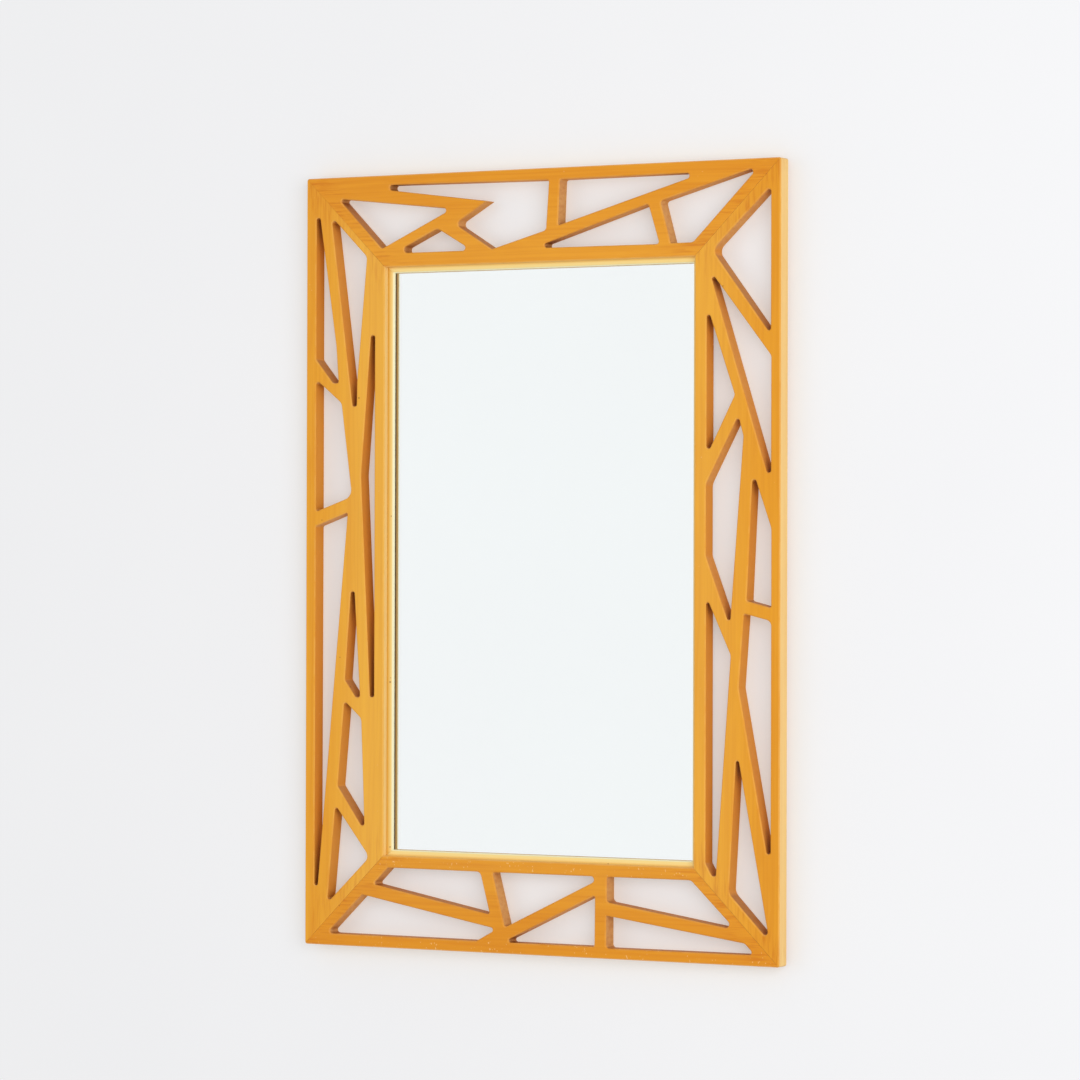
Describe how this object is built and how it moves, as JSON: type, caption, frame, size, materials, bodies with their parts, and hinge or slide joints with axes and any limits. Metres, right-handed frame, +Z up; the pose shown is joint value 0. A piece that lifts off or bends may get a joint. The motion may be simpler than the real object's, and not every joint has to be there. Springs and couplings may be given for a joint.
{
  "type": "wall mirror",
  "caption": "Rectangular wall mirror in a flat, mitred wooden frame pierced by a fretwork of slanted bars, with a gilt slip round the glass and swinging D-rings behind.",
  "frame": {"origin": "centre of the backing board's rear face, which is the face towards the wall", "axes": "+X to the right seen from the front, +Y into the wall, +Z up; the glass faces -Y"},
  "size_m": [0.55, 0.0214, 0.8],
  "materials": {
    "lacquered_pine": "gloss amber lacquer",
    "spline_ply": "bare",
    "gilt_slip": "pale gold lacquer",
    "mirror_plate": "polished, silvered behind",
    "hardboard": "matt",
    "plated_steel": "zinc plated"
  },
  "bodies": {
    "mirror": {"top_rail": "lacquered_pine", "bottom_rail": "lacquered_pine", "left_stile": "lacquered_pine", "right_stile": "lacquered_pine", "mitre_spline_top_left": "spline_ply", "mitre_spline_top_right": "spline_ply", "mitre_spline_bottom_left": "spline_ply", "mitre_spline_bottom_right": "spline_ply", "slip_top": "gilt_slip", "slip_bottom": "gilt_slip", "slip_left": "gilt_slip", "slip_right": "gilt_slip", "mirror_glass": "mirror_plate", "backing_board": "hardboard", "backing_pin_01": "plated_steel", "backing_pin_02": "plated_steel", "backing_pin_03": "plated_steel", "backing_pin_04": "plated_steel", "backing_pin_05": "plated_steel", "backing_pin_06": "plated_steel", "backing_pin_07": "plated_steel", "backing_pin_08": "plated_steel", "backing_pin_09": "plated_steel", "backing_pin_10": "plated_steel", "backing_pin_11": "plated_steel", "backing_pin_12": "plated_steel", "backing_pin_13": "plated_steel", "backing_pin_14": "plated_steel", "hanger_strap_left": "plated_steel", "hanger_screw_left": "plated_steel", "hanger_strap_right": "plated_steel", "hanger_screw_right": "plated_steel"},
    "left_ring": {"hanger_ring_left": "plated_steel"},
    "right_ring": {"hanger_ring_right": "plated_steel"}
  },
  "joints": [
    {"name": "left_ring_swing", "type": "hinge", "parent": "mirror", "child": "left_ring", "pos_m": [-0.1965, -0.0021, 0.297], "axis": [1, 0, 0], "range_deg": [0, 180]},
    {"name": "right_ring_swing", "type": "hinge", "parent": "mirror", "child": "right_ring", "pos_m": [0.1965, -0.0021, 0.297], "axis": [1, 0, 0], "range_deg": [0, 180]}
  ]
}
